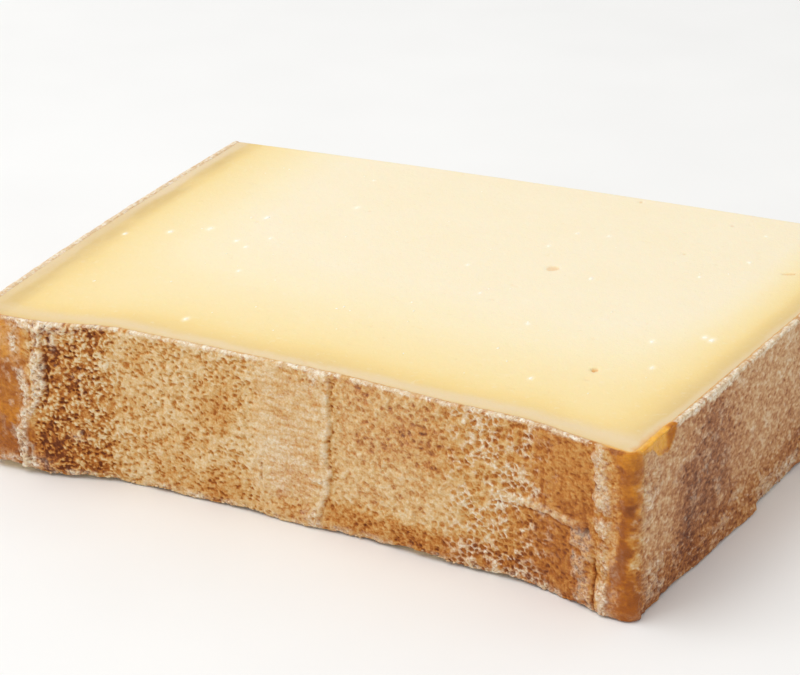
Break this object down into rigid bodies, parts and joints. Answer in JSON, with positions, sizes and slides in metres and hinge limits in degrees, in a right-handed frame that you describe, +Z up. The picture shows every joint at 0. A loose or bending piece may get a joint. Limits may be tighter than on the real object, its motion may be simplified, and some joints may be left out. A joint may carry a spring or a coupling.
{
  "type": "beaufort cheese slab",
  "caption": "Thick slab of hard mountain cheese cut from a wheel, lying on its cut face, with a hollow rind heel in front, rind on both flat faces and a bare back cut.",
  "frame": {"origin": "middle of the bounding box's bottom face, on the resting cut face", "axes": "+X along the hollow heel from its left to its right corner, which is along the wheel's axis; +Y from the heel to the back cut; +Z up"},
  "size_m": [0.1512, 0.117, 0.0335],
  "materials": {
    "paste": null
  },
  "bodies": {
    "root": {"cheese_slab": "paste"}
  },
  "joints": []
}
